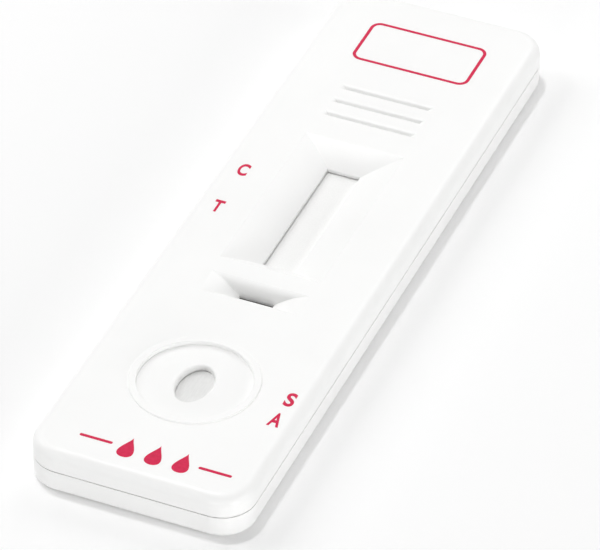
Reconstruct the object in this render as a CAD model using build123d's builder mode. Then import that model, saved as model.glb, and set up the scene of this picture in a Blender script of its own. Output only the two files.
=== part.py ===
"""Lateral flow cassette: two press-fit shells closed around a test strip.

Millimetres. X runs across the case, +Y from the sample end to the wick end, +Z up.
The base rests on z = 0, and the origin lies under the middle of the case.
A place along Y is measured from the sample end of the case.
"""

import os
from math import atan2, copysign, cos, hypot, radians, sin, tan

from build123d import *

# Case
CASE_LENGTH = 70.0
CASE_WIDTH = 20.0
CORNER_RADIUS = 3.0
BASE_HEIGHT = 2.15
COVER_HEIGHT = 2.1
TOP_EDGE_RADIUS = 1.0
FOOT_EDGE_RADIUS = 0.5
WALL = 1.2
PLATE = 0.9
FLOOR = 0.9
SEAM_GAP = 0.09
SEAM_DEPTH = 0.35

# Press-fit posts
POST_RADIUS = 1.1
PIN_RADIUS = 0.6
PIN_CLEARANCE = 0.03
PIN_TIP_GAP = 0.2
PIN_TIP_CHAMFER = 0.15
PIN_SIDE_INSET = 2.6
PIN_END_INSET = 4.0
PIN_ROWS = 4

# Read window
WINDOW_PLACE = 29.0
WINDOW_LENGTH = 19.0
WINDOW_WIDTH = 9.4
WINDOW_DEPTH = 1.35
WINDOW_NEAR_RUN = 1.92
WINDOW_FAR_RUN = 2.6
WINDOW_LIP = 0.3
WINDOW_TURN = 4.0
READ_WIDTH = 3.15
READ_GAP = 0.1
LIP_WALL = 0.8

# Slot over the conjugate pad, beyond the crossbar
CROSSBAR = 1.97
SLOT_LENGTH = 2.83
SLOT_WIDTH = 9.2
SLOT_NEAR_RUN = 1.0
SLOT_FAR_RUN = 0.88
SLOT_OPENING = 3.2
SLOT_LIP = 0.2

# Sample well
WELL_PLACE = 13.1
WELL_RADIUS = 4.95
WELL_DEPTH = 0.25
WELL_FALL = 0.1
WELL_RIM_WIDTH = 0.7
WELL_RIM_HEIGHT = 0.15
WELL_RIM_EDGE_RADIUS = 0.1
WELL_SEAT_RADIUS = 3.1
HOLE_WIDTH = 3.05
HOLE_LENGTH = 4.85
HOLE_EDGE_RADIUS = 0.2

# Grip grooves
GROOVE_COUNT = 3
GROOVE_GAP = 2.95
GROOVE_PITCH = 2.05
GROOVE_LENGTH = 9.0
GROOVE_DEPTH = 0.45
GROOVE_NEAR_RUN = 0.27
GROOVE_FAR_RUN = 0.42
GROOVE_FLOOR = 0.06
GROOVE_END_RUN = 0.6

# Slopes in degrees between which the shoulder of a recess turns, and its full turn to each side
FIRST_SLOPE = 6.0
LAST_SLOPE = 86.0
FULL_TURN = 60.0

# Strip
STRIP_WIDTH = 4.0
STRIP_END_GAP = 5.0
CARD_THICKNESS = 0.3
MEMBRANE_THICKNESS = 0.15
MEMBRANE_TAIL = 6.7
CONJUGATE_LENGTH = 9.0
CONJUGATE_THICKNESS = 0.35
SAMPLE_THICKNESS = 0.95
ABSORBENT_THICKNESS = 0.75
PAD_OVERLAP = 2.0
PAD_RAMP = 0.6
PAD_GAP = 0.05

# Strip channel in the base and hold-down ribs in the cover
STRIP_CLEARANCE = 0.1
RAIL = 0.7
RAIL_GAP = 0.1
RIB_WIDTH = 0.8
RIB_COUNT = 9
RIB_END_INSET = 1.5
HOLD_COUNT = 3
HOLD_PITCH = 4.0
SKIRT = 0.1

# Heights, from the top face down to the bed of the strip
top = BASE_HEIGHT + COVER_HEIGHT
plate_middle = top - PLATE / 2
floor_middle = FLOOR / 2
read_lip = top - WINDOW_DEPTH - WINDOW_LIP
membrane_top = read_lip - READ_GAP
card_top = membrane_top - MEMBRANE_THICKNESS
bed = card_top - CARD_THICKNESS
conjugate_top = card_top + CONJUGATE_THICKNESS
sample_top = card_top + SAMPLE_THICKNESS
absorbent_top = card_top + ABSORBENT_THICKNESS
slot_edge = conjugate_top + PAD_GAP + SLOT_LIP
rail_top = read_lip - RAIL_GAP
well_edge = top - WELL_DEPTH

# Places along Y
case_near = -CASE_LENGTH / 2
well_y = case_near + WELL_PLACE
window_near = case_near + WINDOW_PLACE
window_far = window_near + WINDOW_LENGTH
read_near = window_near + WINDOW_NEAR_RUN
read_far = window_far - WINDOW_FAR_RUN
slot_far = window_near - CROSSBAR
slot_near = slot_far - SLOT_LENGTH
groove_width = GROOVE_NEAR_RUN + GROOVE_FLOOR + GROOVE_FAR_RUN
strip_far = CASE_LENGTH / 2 - STRIP_END_GAP
strip_near = -strip_far
conjugate_far = read_near - LIP_WALL - PAD_GAP
conjugate_near = conjugate_far - CONJUGATE_LENGTH
membrane_near = conjugate_far - PAD_OVERLAP
membrane_far = read_far + MEMBRANE_TAIL
sample_far = conjugate_near + PAD_OVERLAP
absorbent_near = membrane_far - PAD_OVERLAP

# Widths and patterns
half_lip = READ_WIDTH / 2 + LIP_WALL
half_rim = WINDOW_WIDTH / 2
channel_width = STRIP_WIDTH + 2 * STRIP_CLEARANCE
channel_length = strip_far - strip_near + 2 * STRIP_CLEARANCE
rib_pitch = (strip_far - strip_near - 2 * RIB_END_INSET) / (RIB_COUNT - 1)
pin_columns = CASE_WIDTH - 2 * PIN_SIDE_INSET
pin_pitch = (CASE_LENGTH - 2 * PIN_END_INSET) / (PIN_ROWS - 1)


def case_outline(inset, mode=Mode.ADD):
    """Rounded outline of the case, moved inward by inset."""
    width = CASE_WIDTH - 2 * inset
    RectangleRounded(width, CASE_LENGTH - 2 * inset, CORNER_RADIUS - inset, mode=mode)


def pin_pattern(radius):
    """One circle at each press-fit post."""
    with GridLocations(pin_columns, pin_pitch, 2, PIN_ROWS):
        Circle(radius)


def shoulder(outer, inner, most=FULL_TURN):
    """Arc from the rim of a recess down to its inner edge, flat at the rim and steep below.

    It turns by at most most degrees to each side of its mean slope.
    """
    run = inner[0] - outer[0]
    drop = outer[1] - inner[1]
    slope = atan2(drop, abs(run))
    half_turn = min(slope - radians(FIRST_SLOPE), radians(LAST_SLOPE) - slope, radians(most))
    bulge = hypot(run, drop) / 2 * tan(half_turn / 2)
    middle_run = (outer[0] + inner[0]) / 2 + copysign(bulge * sin(slope), run)
    middle_height = (outer[1] + inner[1]) / 2 + bulge * cos(slope)
    ThreePointArc(outer, (middle_run, middle_height), inner)


def valley(plane, start, start_run, end, end_run, edge, lip, most):
    """Section of a recess with rounded shoulders down to edge, and a straight lip below them."""
    low = start + start_run
    high = end - end_run
    with BuildSketch(plane) as section:
        with BuildLine():
            shoulder((start, top), (low, edge), most)
            if lip > 0:
                Polyline((low, edge), (low, edge - lip), (high, edge - lip), (high, edge))
            else:
                Line((low, edge), (high, edge))
            shoulder((end, top), (high, edge), most)
            Polyline((end, top), (end, top + PLATE), (start, top + PLATE), (start, top))
        make_face()
    return section.sketch


def recess(width, width_run, near, near_run, far, far_run, edge, lip, most=FULL_TURN):
    """Cutter for a four-sided recess: one section carried along Y, crossed by one along X."""
    across = valley(Plane.XZ, -width / 2, width_run, width / 2, width_run, edge, lip, most)
    along = valley(Plane.YZ, near, near_run, far, far_run, edge, lip, most)
    with BuildPart() as cutter:
        extrude(across, amount=CASE_LENGTH / 2, both=True)
        extrude(along, amount=CASE_WIDTH / 2, both=True, mode=Mode.INTERSECT)
    return cutter.part


def strip_layer(outline, width=STRIP_WIDTH):
    """Layer of the strip: an outline in YZ, carried across the strip's width."""
    with BuildPart() as layer:
        with BuildSketch(Plane.YZ):
            with BuildLine():
                Polyline(*outline, close=True)
            make_face()
        extrude(amount=width / 2, both=True)
    return layer


def flat_outline(near, far, low, thickness):
    """Outline of a layer that lies flat."""
    return [(near, low), (far, low), (far, low + thickness), (near, low + thickness)]


def lapped_outline(flat_end, step, lapped_end, lap, thickness, gap=0.0):
    """Outline of a pad that lies on the card and rides up by lap onto the layer ending at step."""
    away = copysign(1, lapped_end - flat_end)
    start = flat_end - away * gap
    end = lapped_end + away * gap
    ramp_end = step - away * gap
    ramp_start = ramp_end - away * PAD_RAMP
    heights = [(start, 0), (ramp_start, 0), (ramp_end, lap), (end, lap)]
    under = [(place, card_top + rise) for place, rise in heights]
    over = [(place, height + thickness + gap) for place, height in reversed(under)]
    return under + over


# Pads: flat end, place of the step, lapped end, height of the lap, thickness
sample_form = (strip_near, conjugate_near, sample_far, CONJUGATE_THICKNESS, SAMPLE_THICKNESS)
conjugate_form = (
    conjugate_near, membrane_near, conjugate_far, MEMBRANE_THICKNESS, CONJUGATE_THICKNESS
)
absorbent_form = (strip_far, membrane_far, absorbent_near, MEMBRANE_THICKNESS, ABSORBENT_THICKNESS)

# Strip
backing_card = strip_layer(flat_outline(strip_near, strip_far, bed, CARD_THICKNESS))
membrane = strip_layer(flat_outline(membrane_near, membrane_far, card_top, MEMBRANE_THICKNESS))
sample_pad = strip_layer(lapped_outline(*sample_form))
conjugate_pad = strip_layer(lapped_outline(*conjugate_form))
absorbent_pad = strip_layer(lapped_outline(*absorbent_form))

# Lower shell: tray with the strip channel and the sockets
with BuildPart() as lower_shell:
    with BuildSketch():
        case_outline(0)
    extrude(amount=BASE_HEIGHT)
    fillet(lower_shell.faces().sort_by(Axis.Z)[0].edges(), FOOT_EDGE_RADIUS)
    with BuildSketch(Plane.XY.offset(FLOOR)):
        case_outline(WALL)
    extrude(amount=BASE_HEIGHT, mode=Mode.SUBTRACT)
    with BuildSketch(Plane.XY.offset(floor_middle)):
        Rectangle(channel_width + 2 * RAIL, channel_length + 2 * RAIL)
        Rectangle(channel_width, channel_length, mode=Mode.SUBTRACT)
    extrude(amount=rail_top - floor_middle)
    with BuildSketch(Plane.XY.offset(floor_middle)):
        with GridLocations(channel_width, rib_pitch, 1, RIB_COUNT):
            Rectangle(channel_width + RAIL, RIB_WIDTH)
    extrude(amount=bed - floor_middle)
    with BuildSketch(Plane.XY.offset(floor_middle)):
        pin_pattern(POST_RADIUS)
    extrude(amount=BASE_HEIGHT - floor_middle)
    with BuildSketch(Plane.XY.offset(FLOOR)):
        pin_pattern(PIN_RADIUS + PIN_CLEARANCE)
    extrude(amount=BASE_HEIGHT, mode=Mode.SUBTRACT)

# Hopper under the window and the slot, and the three kinds of recess in the top face
with BuildPart() as hopper:
    with BuildSketch(Plane.XZ):
        with BuildLine():
            Polyline(
                (-half_lip, read_lip), (half_lip, read_lip),
                (half_rim, plate_middle), (-half_rim, plate_middle),
                close=True,
            )
        make_face()
    extrude(amount=CASE_LENGTH / 2, both=True)
    with BuildSketch(Plane.YZ):
        with BuildLine():
            Polyline(
                (slot_near + SLOT_NEAR_RUN - LIP_WALL, read_lip), (read_far + LIP_WALL, read_lip),
                (window_far, plate_middle), (slot_near, plate_middle),
                close=True,
            )
        make_face()
    extrude(amount=CASE_WIDTH / 2, both=True, mode=Mode.INTERSECT)

window_recess = recess(
    WINDOW_WIDTH, (WINDOW_WIDTH - READ_WIDTH) / 2,
    window_near, WINDOW_NEAR_RUN, window_far, WINDOW_FAR_RUN,
    top - WINDOW_DEPTH, WINDOW_LIP + PAD_GAP, WINDOW_TURN,
)
slot_recess = recess(
    SLOT_WIDTH, (SLOT_WIDTH - SLOT_OPENING) / 2,
    slot_near, SLOT_NEAR_RUN, slot_far, SLOT_FAR_RUN,
    slot_edge, SLOT_LIP + PAD_GAP,
)
grooves = []
for number in range(GROOVE_COUNT):
    groove_near = window_far + GROOVE_GAP + number * GROOVE_PITCH
    grooves.append(recess(
        GROOVE_LENGTH, GROOVE_END_RUN,
        groove_near, GROOVE_NEAR_RUN, groove_near + groove_width, GROOVE_FAR_RUN,
        top - GROOVE_DEPTH, 0,
    ))

# Upper shell: cover with the hopper, the well, the hold-down ribs and the press-fit posts
with BuildPart() as upper_shell:
    with BuildSketch(Plane.XY.offset(BASE_HEIGHT)):
        case_outline(0)
    extrude(amount=COVER_HEIGHT)
    fillet(upper_shell.faces().sort_by(Axis.Z)[-1].edges(), TOP_EDGE_RADIUS)
    with BuildSketch(Plane.XY.offset(BASE_HEIGHT)):
        case_outline(WALL)
    extrude(amount=COVER_HEIGHT - PLATE, mode=Mode.SUBTRACT)
    add(hopper.part)
    with BuildSketch(Plane.XY.offset(sample_top + PAD_GAP - SKIRT)):
        with Locations((0, well_y)):
            Circle(WELL_RADIUS)
        with Locations((0, strip_near + RIB_END_INSET)):
            Rectangle(channel_width + 2 * RAIL, RIB_WIDTH)
    extrude(amount=plate_middle - sample_top - PAD_GAP + SKIRT)
    with BuildSketch(Plane.XY.offset(absorbent_top + PAD_GAP - SKIRT)):
        for number in range(HOLD_COUNT):
            with Locations((0, strip_far - RIB_END_INSET - number * HOLD_PITCH)):
                Rectangle(channel_width + 2 * RAIL, RIB_WIDTH)
    extrude(amount=plate_middle - absorbent_top - PAD_GAP + SKIRT)
    for form in (sample_form, conjugate_form, absorbent_form):
        add(strip_layer(lapped_outline(*form, gap=PAD_GAP), channel_width).part, mode=Mode.SUBTRACT)
    add(window_recess, mode=Mode.SUBTRACT)
    add(slot_recess, mode=Mode.SUBTRACT)
    for groove in grooves:
        add(groove, mode=Mode.SUBTRACT)
    with BuildSketch(Plane.XY.offset(plate_middle)):
        with Locations((0, well_y)):
            Circle(WELL_RADIUS + WELL_RIM_WIDTH)
    extrude(amount=top + WELL_RIM_HEIGHT - plate_middle)
    with BuildSketch(Plane.XZ.offset(-well_y)):
        with BuildLine():
            Polyline(
                (WELL_RADIUS, well_edge), (WELL_SEAT_RADIUS, well_edge - WELL_FALL),
                (0, well_edge - WELL_FALL), (0, top + PLATE), (WELL_RADIUS, top + PLATE),
                close=True,
            )
        make_face()
    revolve(axis=Axis((0, well_y, 0), (0, 0, 1)), mode=Mode.SUBTRACT)
    fillet(upper_shell.faces().sort_by(Axis.Z)[-1].edges(), WELL_RIM_EDGE_RADIUS)
    with BuildSketch(Plane.XY.offset(BASE_HEIGHT)):
        with Locations((0, well_y)):
            Ellipse(HOLE_WIDTH / 2, HOLE_LENGTH / 2)
    extrude(amount=COVER_HEIGHT, mode=Mode.SUBTRACT)
    fillet(upper_shell.edges(Select.LAST).sort_by(Axis.Z)[-1], HOLE_EDGE_RADIUS)
    with BuildSketch(Plane.XY.offset(BASE_HEIGHT)):
        pin_pattern(POST_RADIUS)
    extrude(amount=plate_middle - BASE_HEIGHT)
    with BuildSketch(Plane.XY.offset(FLOOR + PIN_TIP_GAP)):
        pin_pattern(PIN_RADIUS)
    extrude(amount=plate_middle - FLOOR - PIN_TIP_GAP)
    chamfer(upper_shell.faces().group_by(Axis.Z)[0].edges(), PIN_TIP_CHAMFER)
    with BuildSketch(Plane.XY.offset(BASE_HEIGHT)):
        case_outline(-WALL)
        case_outline(SEAM_DEPTH, mode=Mode.SUBTRACT)
    extrude(amount=SEAM_GAP, mode=Mode.SUBTRACT)

# One file for each piece
os.makedirs("parts", exist_ok=True)
pieces = {
    "upper_shell": upper_shell,
    "lower_shell": lower_shell,
    "backing_card": backing_card,
    "nitrocellulose_membrane": membrane,
    "conjugate_pad": conjugate_pad,
    "sample_pad": sample_pad,
    "absorbent_pad": absorbent_pad,
}
for name, piece in pieces.items():
    piece.part.label = name
    export_step(piece.part, f"parts/{name}.step")
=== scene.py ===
"""Looks of a lateral flow cassette: moulded shells, fibre pads and pad-printed marks.

Metres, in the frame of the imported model: X across, +Y to the wick end, +Z up, base on z = 0.
Sizes are written in millimetres and turned to metres by MM.
"""
from math import cos, pi, radians, sin

import bmesh
import bpy
import numpy as np
from mathutils import Matrix, Vector


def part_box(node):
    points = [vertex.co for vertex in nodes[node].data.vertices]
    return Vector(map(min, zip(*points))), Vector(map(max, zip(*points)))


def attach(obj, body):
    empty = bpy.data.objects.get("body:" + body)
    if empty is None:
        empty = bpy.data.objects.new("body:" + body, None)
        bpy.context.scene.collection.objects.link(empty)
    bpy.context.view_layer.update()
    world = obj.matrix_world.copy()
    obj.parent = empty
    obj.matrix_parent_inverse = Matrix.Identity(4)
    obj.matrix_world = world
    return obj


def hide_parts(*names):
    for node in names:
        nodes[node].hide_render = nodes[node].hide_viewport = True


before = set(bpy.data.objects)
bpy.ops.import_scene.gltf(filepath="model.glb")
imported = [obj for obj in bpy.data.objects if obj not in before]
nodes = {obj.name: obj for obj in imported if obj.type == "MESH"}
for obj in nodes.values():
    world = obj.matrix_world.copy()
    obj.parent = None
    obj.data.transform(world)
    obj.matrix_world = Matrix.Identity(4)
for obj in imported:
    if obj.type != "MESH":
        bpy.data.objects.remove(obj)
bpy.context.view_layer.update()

MM = 0.001
MERGE_DISTANCE = 1e-8

# Camera, fitted to the photograph's edges: angles in degrees, places in millimetres
IMAGE_WIDTH = 600
FOCAL_PIXELS = 5344.0
SENSOR = 36.0
AZIMUTH = 23.26
ELEVATION = 39.43
ROLL = -0.13
TARGET = (0.615, -0.905, 0.0)
DISTANCE = 466.5
CLIP_START = 10.0

# Light: strength of the dome, and the soft boxes as turn, tilt, distance, side and watts
DOME = 0.29
SOFT_BOXES = {
    "key_softbox": (-120, 75.5, 1200, 110, 3.4),
    "left_softbox": (-90, 40, 1200, 600, 4.0),
    "back_left_softbox": (-135, 40, 1200, 600, 1.9),
    "back_softbox": (180, 40, 1200, 600, 2.7),
    "front_softbox": (5, 5, 1200, 200, 2.6),
    "front_right_softbox": (58, 5, 1200, 200, 3.3),
    "right_softbox": (88, 16, 1200, 300, 2.4),
}

# Floor: half its side, how far it lies under the base, and the white added where it is seen
FLOOR_HALF = 1500 * MM
FLOOR_DROP = 0.01 * MM
FLOOR_LIFT = 0.06

# Heights of the top face, under the well's rim, and of the strip, read from the frame
WELL_RIM = 0.15 * MM
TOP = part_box("upper_shell")[1].z - WELL_RIM
CARD_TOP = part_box("backing_card")[1].z
MEMBRANE_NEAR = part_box("nitrocellulose_membrane")[0].y
MEMBRANE_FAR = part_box("nitrocellulose_membrane")[1].y
MEMBRANE_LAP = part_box("nitrocellulose_membrane")[1].z - CARD_TOP
CONJUGATE_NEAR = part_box("conjugate_pad")[0].y
CONJUGATE_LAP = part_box("conjugate_pad")[1].z - CARD_TOP - MEMBRANE_LAP

# Pads: their ramps, round edges and mesh, and the waves of their tops with lengths in millimetres
PAD_RAMP = 0.6 * MM
PAD_EDGE = 0.08 * MM
PAD_EDGE_POINTS = 4
PAD_STEP = 0.1 * MM
PAD_SEEDS = {"sample_pad": 11, "conjugate_pad": 23, "absorbent_pad": 37}
FIBRE_RELIEF = 0.012 * MM
FIBRE_WAVES = 28
FIBRE_WAVE_LENGTHS = (0.35, 1.6)
FIBRE_FADE = 4
FIBRE_TURNS = (35, -50)

# Ink film over and under the top face
INK_FILM = 0.012 * MM
INK_SINK = 0.004 * MM

# Letters: depth and weight in the font's units, then centre, width and height in millimetres
LETTER_DEPTH = 0.1
LETTER_WEIGHT = 0.03
LETTERS = {
    "control": ("C", -7.67, 5.83, 0.97, 1.7),
    "test": ("T", -7.7, 0.28, 0.93, 1.67),
    "sample": ("S", 8.4, -21.1, 0.88, 1.78),
    "well": ("A", 8.28, -23.9, 1.06, 1.77),
}

# Writing panel, drops and rules, in millimetres on the top face
PANEL_CENTRE = (0.2, 27.6)
PANEL_SIZE = (11.0, 5.6)
PANEL_CORNER = 0.8
PANEL_LINE = 0.3
DROP_CENTRE = (0.9, -31.9)
DROP_PITCH = 2.5
DROP_SIZE = (0.85, 1.25)
DROP_FULLNESS = 1.3
RULE_SIZE = (3.0, 0.3)
RULE_PLACE = 5.4


def linear(hex_colour):
    """Linear RGBA of an sRGB hex colour such as F4F4F2."""
    values = [int(hex_colour[i:i + 2], 16) / 255 for i in (0, 2, 4)]
    return [v / 12.92 if v <= 0.04045 else ((v + 0.055) / 1.055) ** 2.4 for v in values] + [1.0]


def per(size_mm):
    """Texture scale whose pattern repeats about every size_mm on Object coordinates."""
    return 1 / (size_mm * MM)


# Materials

def add_node(material, kind, inputs=None, stops=(), **settings):
    """Adds a node: settings are its properties, inputs its values or the sockets linked to it.

    On a colour ramp, stops gives the place and the hex colour of each stop.
    """
    tree = material.node_tree
    made = tree.nodes.new(kind)
    for name, value in settings.items():
        setattr(made, name, value)
    for name, value in (inputs or {}).items():
        if isinstance(value, bpy.types.NodeSocket):
            tree.links.new(value, made.inputs[name])
        else:
            made.inputs[name].default_value = value
    for number, (place, colour) in enumerate(stops):
        made.color_ramp.elements[number].position = place
        made.color_ramp.elements[number].color = linear(colour)
    return made


def new_material(name):
    """Empty node material."""
    material = bpy.data.materials.new(name)
    material.use_nodes = True
    material.node_tree.nodes.clear()
    return material


def finish_material(material, shader):
    """Links the finished shader to the material's output."""
    add_node(material, "ShaderNodeOutputMaterial", {"Surface": shader})
    return material


def moulded_polystyrene():
    """Injection-moulded white polystyrene: bright, satin, with a fine spark-eroded grain.

    The grain is drawn at 0.2 mm, coarser than the real 0.05 mm, so that it shows.
    """
    m = new_material("moulded_white_polystyrene")
    place = add_node(m, "ShaderNodeTexCoord").outputs["Object"]
    flow = add_node(m, "ShaderNodeTexNoise", {"Vector": place, "Scale": per(9), "Detail": 2.0})
    grain = add_node(m, "ShaderNodeTexNoise", {"Vector": place, "Scale": per(0.2), "Detail": 3.0})
    gloss = add_node(m, "ShaderNodeMapRange", {
        "Value": grain.outputs["Fac"], "To Min": 0.34, "To Max": 0.46})
    bump = add_node(m, "ShaderNodeBump", {
        "Height": grain.outputs["Fac"], "Strength": 0.25, "Distance": 0.004 * MM})
    tone = add_node(m, "ShaderNodeValToRGB", {"Fac": flow.outputs["Fac"]},
                    stops=((0.3, "F6F6F5"), (0.7, "F9F9F8")))
    plastic = add_node(m, "ShaderNodeBsdfPrincipled", {
        "Base Color": tone.outputs["Color"],
        "Roughness": gloss.outputs["Result"], "IOR": 1.59, "Normal": bump.outputs["Normal"],
        "Subsurface Weight": 0.12, "Subsurface Radius": (1.0, 1.0, 1.0), "Subsurface Scale": 0.4 * MM})
    return finish_material(m, plastic.outputs["BSDF"])


def fibre_mat(name, dark, light, fibre_mm, length_mm, relief_mm):
    """Pressed fibre mat: matt, with crossing fibres as stretched noise in two directions.

    The fibres are drawn several times coarser than the real 0.01 to 0.03 mm, so that they show.
    """
    m = new_material(name)
    place = add_node(m, "ShaderNodeTexCoord").outputs["Object"]
    layers = []
    for turn in FIBRE_TURNS:
        turned = add_node(m, "ShaderNodeMapping", {
            "Vector": place, "Rotation": (0, 0, radians(turn)),
            "Scale": (per(fibre_mm), per(length_mm), per(fibre_mm))})
        layers.append(add_node(m, "ShaderNodeTexNoise", {
            "Vector": turned.outputs["Vector"], "Scale": 1.0, "Detail": 4.0}).outputs["Fac"])
    web = add_node(m, "ShaderNodeMath", {0: layers[0], 1: layers[1]}, operation="MAXIMUM")
    bump = add_node(m, "ShaderNodeBump", {
        "Height": web.outputs["Value"], "Strength": 0.6, "Distance": relief_mm * MM})
    tone = add_node(m, "ShaderNodeValToRGB", {"Fac": web.outputs["Value"]},
                    stops=((0.38, dark), (0.72, light)))
    mat = add_node(m, "ShaderNodeBsdfPrincipled", {
        "Base Color": tone.outputs["Color"],
        "Roughness": 0.95, "IOR": 1.47, "Specular IOR Level": 0.2, "Normal": bump.outputs["Normal"]})
    return finish_material(m, mat.outputs["BSDF"])


def nitrocellulose():
    """Cast nitrocellulose film: pure matt white, with pores drawn at 0.12 mm so that they show."""
    m = new_material("cast_nitrocellulose")
    place = add_node(m, "ShaderNodeTexCoord").outputs["Object"]
    pores = add_node(m, "ShaderNodeTexNoise", {"Vector": place, "Scale": per(0.12), "Detail": 5.0})
    bump = add_node(m, "ShaderNodeBump", {
        "Height": pores.outputs["Fac"], "Strength": 0.3, "Distance": 0.01 * MM})
    tone = add_node(m, "ShaderNodeValToRGB", {"Fac": pores.outputs["Fac"]},
                    stops=((0.3, "FAFAF9"), (0.6, "FFFFFE")))
    film = add_node(m, "ShaderNodeBsdfPrincipled", {
        "Base Color": tone.outputs["Color"],
        "Roughness": 0.9, "IOR": 1.5, "Specular IOR Level": 0.25, "Normal": bump.outputs["Normal"]})
    return finish_material(m, film.outputs["BSDF"])


def vinyl_card():
    """Calendered white PVC card: smooth, with a faint roller grain along the strip."""
    m = new_material("white_vinyl_card")
    place = add_node(m, "ShaderNodeTexCoord").outputs["Object"]
    rolled = add_node(m, "ShaderNodeMapping", {
        "Vector": place, "Scale": (per(0.15), per(6), per(0.15))})
    grain = add_node(m, "ShaderNodeTexNoise", {"Vector": rolled.outputs["Vector"], "Scale": 1.0})
    gloss = add_node(m, "ShaderNodeMapRange", {
        "Value": grain.outputs["Fac"], "To Min": 0.25, "To Max": 0.4})
    card = add_node(m, "ShaderNodeBsdfPrincipled", {
        "Base Color": linear("F0F0EE"), "Roughness": gloss.outputs["Result"], "IOR": 1.54})
    return finish_material(m, card.outputs["BSDF"])


def pad_print_ink():
    """Crimson two-part pad-printing ink: a thin film, half gloss, a little uneven in its cover."""
    m = new_material("crimson_pad_print_ink")
    place = add_node(m, "ShaderNodeTexCoord").outputs["Object"]
    cover = add_node(m, "ShaderNodeTexNoise", {"Vector": place, "Scale": per(0.35), "Detail": 3.0})
    bump = add_node(m, "ShaderNodeBump", {
        "Height": cover.outputs["Fac"], "Strength": 0.2, "Distance": 0.003 * MM})
    tone = add_node(m, "ShaderNodeValToRGB", {"Fac": cover.outputs["Fac"]},
                    stops=((0.3, "CB1345"), (0.7, "DA1B50")))
    ink = add_node(m, "ShaderNodeBsdfPrincipled", {
        "Base Color": tone.outputs["Color"],
        "Roughness": 0.5, "IOR": 1.5, "Specular IOR Level": 0.2, "Normal": bump.outputs["Normal"]})
    return finish_material(m, ink.outputs["BSDF"])


def seen_ray(material):
    """1 for a ray that is seen, straight, in a gloss or through something clear, and 0 for light."""
    path = add_node(material, "ShaderNodeLightPath")
    straight = add_node(material, "ShaderNodeMath", {
        0: path.outputs["Is Camera Ray"], 1: path.outputs["Is Glossy Ray"]}, operation="MAXIMUM")
    seen = add_node(material, "ShaderNodeMath", {
        0: straight.outputs["Value"], 1: path.outputs["Is Transmission Ray"]}, operation="MAXIMUM")
    return seen.outputs["Value"]


def pale_floor():
    """Plain white floor that keeps the shadow, lifted where it is seen so that it reads as white."""
    m = new_material("pale_floor")
    matt = add_node(m, "ShaderNodeBsdfDiffuse", {"Color": linear("FAFAFA")})
    amount = add_node(m, "ShaderNodeMath", {0: seen_ray(m), 1: FLOOR_LIFT}, operation="MULTIPLY")
    lift = add_node(m, "ShaderNodeEmission", {
        "Color": linear("FFFFFF"), "Strength": amount.outputs["Value"]})
    both = add_node(m, "ShaderNodeAddShader", {0: matt.outputs["BSDF"], 1: lift.outputs["Emission"]})
    return finish_material(m, both.outputs["Shader"])


# Meshes

def dress(node, material):
    """Gives a carried-over piece its material."""
    nodes[node].data.materials.clear()
    nodes[node].data.materials.append(material)


def new_piece(name, points, faces, material):
    """Closed piece at the origin from points and faces, outward and riding on the body."""
    mesh = bpy.data.meshes.new(name)
    mesh.from_pydata(points, [], faces)
    work = bmesh.new()
    work.from_mesh(mesh)
    bmesh.ops.remove_doubles(work, verts=work.verts, dist=MERGE_DISTANCE)
    bmesh.ops.recalc_face_normals(work, faces=work.faces)
    work.to_mesh(mesh)
    work.free()
    mesh.materials.append(material)
    piece = bpy.data.objects.new(name, mesh)
    bpy.context.scene.collection.objects.link(piece)
    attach(piece, "root")
    return piece


def grid_faces(rows, columns, ring=False):
    """Quads of a grid whose columns close on themselves; ring joins the last row to the first."""
    first = np.arange(rows if ring else rows - 1)
    row, column = np.meshgrid(first, np.arange(columns), indexing="ij")
    beside = (column + 1) % columns
    below = (row + 1) % rows
    quads = np.stack([
        row * columns + column, row * columns + beside,
        below * columns + beside, below * columns + column], axis=-1)
    return quads.reshape(-1, 4).tolist()


def fibre_field(x, y, seed):
    """Uneven top of a fibre mat.

    The mean of plane waves with random directions and lengths, times the root of their number.
    """
    draw = np.random.default_rng(seed)
    angle = draw.uniform(0, pi, FIBRE_WAVES)
    length = draw.uniform(*FIBRE_WAVE_LENGTHS, FIBRE_WAVES) * MM
    phase = draw.uniform(0, 2 * pi, FIBRE_WAVES)
    along = x[..., None] * np.cos(angle) + y[..., None] * np.sin(angle)
    return np.sin(2 * pi * along / length + phase).mean(axis=-1) * FIBRE_WAVES ** 0.5


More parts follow.
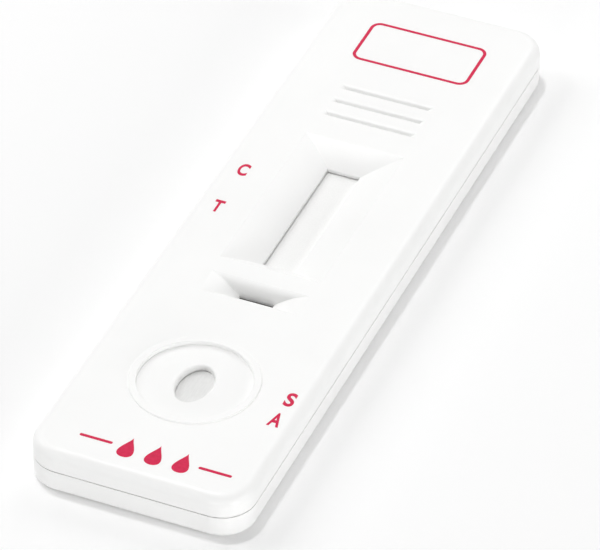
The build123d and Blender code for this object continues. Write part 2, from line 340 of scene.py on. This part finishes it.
def pad(node, step, lap, material):
    """Soft pad in place of its plain solid.

    A bar section with round edges is carried along Y. Its height is the card's, plus lap times a
    smooth step where the pad rides up onto the layer that ends at step. The section draws in by
    a quarter circle at both ends. A wave field lifts its upper side, and fades towards its foot
    by a power of the height.
    """
    low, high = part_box(node)
    half_width = (high.x - low.x) / 2
    thickness = high.z - CARD_TOP - lap
    side = half_width - PAD_EDGE
    shoulder = thickness - PAD_EDGE
    turn = np.linspace(0, pi / 2, PAD_EDGE_POINTS)
    top_x = np.linspace(side, -side, int(2 * side / PAD_STEP))[1:-1]
    section_x = np.concatenate([
        side + PAD_EDGE * np.sin(turn), side + PAD_EDGE * np.cos(turn), top_x,
        -side - PAD_EDGE * np.sin(turn), -side - PAD_EDGE * np.cos(turn)])
    section_z = np.concatenate([
        PAD_EDGE * (1 - np.cos(turn)), shoulder + PAD_EDGE * np.sin(turn),
        np.full(len(top_x), thickness),
        shoulder + PAD_EDGE * np.cos(turn), PAD_EDGE * (1 - np.sin(turn))])

    end = PAD_EDGE * (1 - np.cos(turn[:-1]))
    end_inset = PAD_EDGE * (1 - np.sin(turn[:-1]))
    run = np.linspace(low.y + PAD_EDGE, high.y - PAD_EDGE, int((high.y - low.y) / PAD_STEP))
    y = np.concatenate([low.y + end, run, high.y - end[::-1]])[:, None]
    inset = np.concatenate([end_inset, np.zeros(len(run)), end_inset[::-1]])[:, None]
    toward = 1 if high.y - step < step - low.y else -1
    climb = np.clip((toward * (y - step) + PAD_RAMP) / PAD_RAMP, 0, 1)
    height = CARD_TOP + lap * climb ** 2 * (3 - 2 * climb)

    x = section_x * (1 - inset / half_width)
    z = height + thickness / 2 + (section_z - thickness / 2) * (1 - 2 * inset / thickness)
    y = np.broadcast_to(y, x.shape)
    z = z + FIBRE_RELIEF * fibre_field(x, y, PAD_SEEDS[node]) * (section_z / thickness) ** FIBRE_FADE
    rows, columns = x.shape
    faces = grid_faces(rows, columns)
    faces += [list(range(columns)), list(range((rows - 1) * columns, rows * columns))]
    points = np.stack([x, y, z], axis=-1).reshape(-1, 3)
    piece = new_piece(node + "_soft", points, faces, material)
    piece.data.shade_smooth()
    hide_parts(node)


def round_corners(width, length, radius, steps=12):
    """Rounded rectangle as four quarter circles: its points and its outward normals."""
    turn = (np.arange(4)[:, None] + np.linspace(0, 1, steps)) * pi / 2
    outward = np.stack([np.cos(turn), np.sin(turn)], axis=-1)
    corner = np.array([(1, 1), (-1, 1), (-1, -1), (1, -1)])[:, None, :]
    centre = corner * (np.array([width, length]) / 2 - radius)
    return (centre + radius * outward).reshape(-1, 2), outward.reshape(-1, 2)


def tear_drop(half_width, half_length, steps=48):
    """Drop with its point to +Y: x is sin t times the sine of t/2 squared, y is cos t."""
    turn = np.linspace(0, 2 * pi, steps, endpoint=False)
    x = DROP_FULLNESS * half_width * np.sin(turn) * np.sin(turn / 2) ** 2
    return np.stack([x, half_length * np.cos(turn)], axis=-1)


def ink_height(plan, level):
    """Points of a plan in millimetres, raised through the ink film: level is 0 under it and 1 over it."""
    z = TOP - INK_SINK + level * (INK_SINK + INK_FILM)
    return np.concatenate([plan * MM, np.full(plan.shape[:-1] + (1,), z)], axis=-1)


def ink_field(name, outline, centre, ink):
    """Solid field of ink: rings from the centre below, round the outline, to the centre above."""
    ring = outline + np.array(centre)
    heart = np.broadcast_to(ring.mean(axis=0), ring.shape)
    grid = np.stack([ink_height(heart, 0), ink_height(ring, 0), ink_height(ring, 1), ink_height(heart, 1)])
    new_piece(name, grid.reshape(-1, 3), grid_faces(*grid.shape[:2]), ink)


def ink_line(name, path, outward, line, ink):
    """Closed line of ink: a flat bar section carried round the path, half its width each way."""
    inner = path - outward * line / 2
    outer = path + outward * line / 2
    grid = np.stack(
        [ink_height(inner, 0), ink_height(outer, 0), ink_height(outer, 1), ink_height(inner, 1)], axis=1)
    new_piece(name, grid.reshape(-1, 3), grid_faces(*grid.shape[:2], ring=True), ink)


def ink_letter(name, letter, x, y, width, height, ink):
    """Printed letter: the text's mesh, brought to its size in millimetres and laid on the top face."""
    text = bpy.data.curves.new(name, "FONT")
    text.body = letter
    text.extrude = LETTER_DEPTH
    text.offset = LETTER_WEIGHT
    carrier = bpy.data.objects.new(name, text)
    bpy.context.scene.collection.objects.link(carrier)
    bpy.context.view_layer.update()
    mesh = bpy.data.meshes.new_from_object(carrier.evaluated_get(bpy.context.evaluated_depsgraph_get()))
    bpy.data.objects.remove(carrier)
    points = np.empty(len(mesh.vertices) * 3)
    mesh.vertices.foreach_get("co", points)
    points = points.reshape(-1, 3)
    low, high = points.min(axis=0), points.max(axis=0)
    plan = (points - (low + high) / 2)[:, :2] * (width, height) / (high - low)[:2] + (x, y)
    level = (points[:, 2:] - low[2]) / (high - low)[2]
    faces = [list(face.vertices) for face in mesh.polygons]
    new_piece(name, ink_height(plan, level), faces, ink)


# Stage

def camera():
    """Camera at the photograph's viewing angle, from its turn, tilt and distance."""
    turn, tilt, roll = radians(AZIMUTH), radians(ELEVATION), radians(ROLL)
    back = Vector((sin(turn) * cos(tilt), -cos(turn) * cos(tilt), sin(tilt)))
    level = Vector((cos(turn), sin(turn), 0))
    right = cos(roll) * level + sin(roll) * back.cross(level)
    up = back.cross(right)
    made = bpy.data.objects.new("camera", bpy.data.cameras.new("camera"))
    made.data.sensor_width = SENSOR
    made.data.lens = FOCAL_PIXELS * SENSOR / IMAGE_WIDTH
    made.data.clip_start = CLIP_START * MM
    made.matrix_world = Matrix.Translation((Vector(TARGET) + DISTANCE * back) * MM) @ Matrix(
        (right, up, back)).transposed().to_4x4()
    bpy.context.scene.collection.objects.link(made)
    bpy.context.scene.camera = made


def soft_box(name, turn, tilt, distance, side, watts):
    """Square area light that looks at the origin: angles in degrees, lengths in millimetres."""
    lamp = bpy.data.lights.new(name, "AREA")
    lamp.size = side * MM
    lamp.energy = watts
    made = bpy.data.objects.new(name, lamp)
    turn, tilt = radians(turn), radians(tilt)
    away = Vector((sin(turn) * cos(tilt), -cos(turn) * cos(tilt), sin(tilt)))
    made.location = away * distance * MM
    made.rotation_euler = away.to_track_quat("Z", "Y").to_euler()
    bpy.context.scene.collection.objects.link(made)


def dome():
    """White world: an even dome for the light, and plain white where it is seen."""
    world = bpy.data.worlds.new("white_dome")
    world.use_nodes = True
    world.node_tree.nodes.clear()
    light = add_node(world, "ShaderNodeBackground", {"Color": linear("FFFFFF"), "Strength": DOME})
    white = add_node(world, "ShaderNodeBackground", {"Color": linear("FFFFFF")})
    both = add_node(world, "ShaderNodeMixShader", {
        0: seen_ray(world), 1: light.outputs["Background"], 2: white.outputs["Background"]})
    add_node(world, "ShaderNodeOutputWorld", {"Surface": both.outputs["Shader"]})
    bpy.context.scene.world = world


def floor():
    """Plain square floor just under the base."""
    corners = np.array([(-1, -1), (1, -1), (1, 1), (-1, 1)]) * FLOOR_HALF
    mesh = bpy.data.meshes.new("floor")
    mesh.from_pydata([(x, y, -FLOOR_DROP) for x, y in corners], [], [(0, 1, 2, 3)])
    mesh.materials.append(pale_floor())
    made = bpy.data.objects.new("floor", mesh)
    bpy.context.scene.collection.objects.link(made)


# Shells and strip
shell = moulded_polystyrene()
dress("upper_shell", shell)
dress("lower_shell", shell)
dress("backing_card", vinyl_card())
dress("nitrocellulose_membrane", nitrocellulose())
cellulose = fibre_mat("pressed_cellulose_fibre", "EAEAE9", "F1F1F0", 0.12, 0.9, 0.008)
# Dark grey glass fibre for the conjugate pad: partly the dark tone of a carbon-labelled pad, partly
# painted shade for the deep slot over it.
glass_fibre = fibre_mat("dark_glass_fibre_painted_shade", "3C3C3D", "6A6A6B", 0.07, 1.0, 0.02)
pad("sample_pad", CONJUGATE_NEAR, CONJUGATE_LAP, cellulose)
pad("conjugate_pad", MEMBRANE_NEAR, MEMBRANE_LAP, glass_fibre)
pad("absorbent_pad", MEMBRANE_FAR, MEMBRANE_LAP, cellulose)

# Printed marks
crimson = pad_print_ink()
for name, values in LETTERS.items():
    ink_letter("print_letter_" + name, *values, crimson)
panel_path, panel_outward = round_corners(*PANEL_SIZE, PANEL_CORNER)
ink_line("print_write_panel", panel_path + np.array(PANEL_CENTRE), panel_outward, PANEL_LINE, crimson)
for number, offset in enumerate((-DROP_PITCH, 0, DROP_PITCH)):
    centre = (DROP_CENTRE[0] + offset, DROP_CENTRE[1])
    ink_field(f"print_drop_{number}", tear_drop(*DROP_SIZE), centre, crimson)
for side, offset in (("left", -RULE_PLACE), ("right", RULE_PLACE)):
    centre = (DROP_CENTRE[0] + offset, DROP_CENTRE[1])
    rule = round_corners(*RULE_SIZE, RULE_SIZE[1] / 2)[0]
    ink_field("print_rule_" + side, rule, centre, crimson)

# Floor, light and camera
floor()
dome()
for name, values in SOFT_BOXES.items():
    soft_box(name, *values)
camera()
bpy.context.scene.view_settings.view_transform = "Standard"
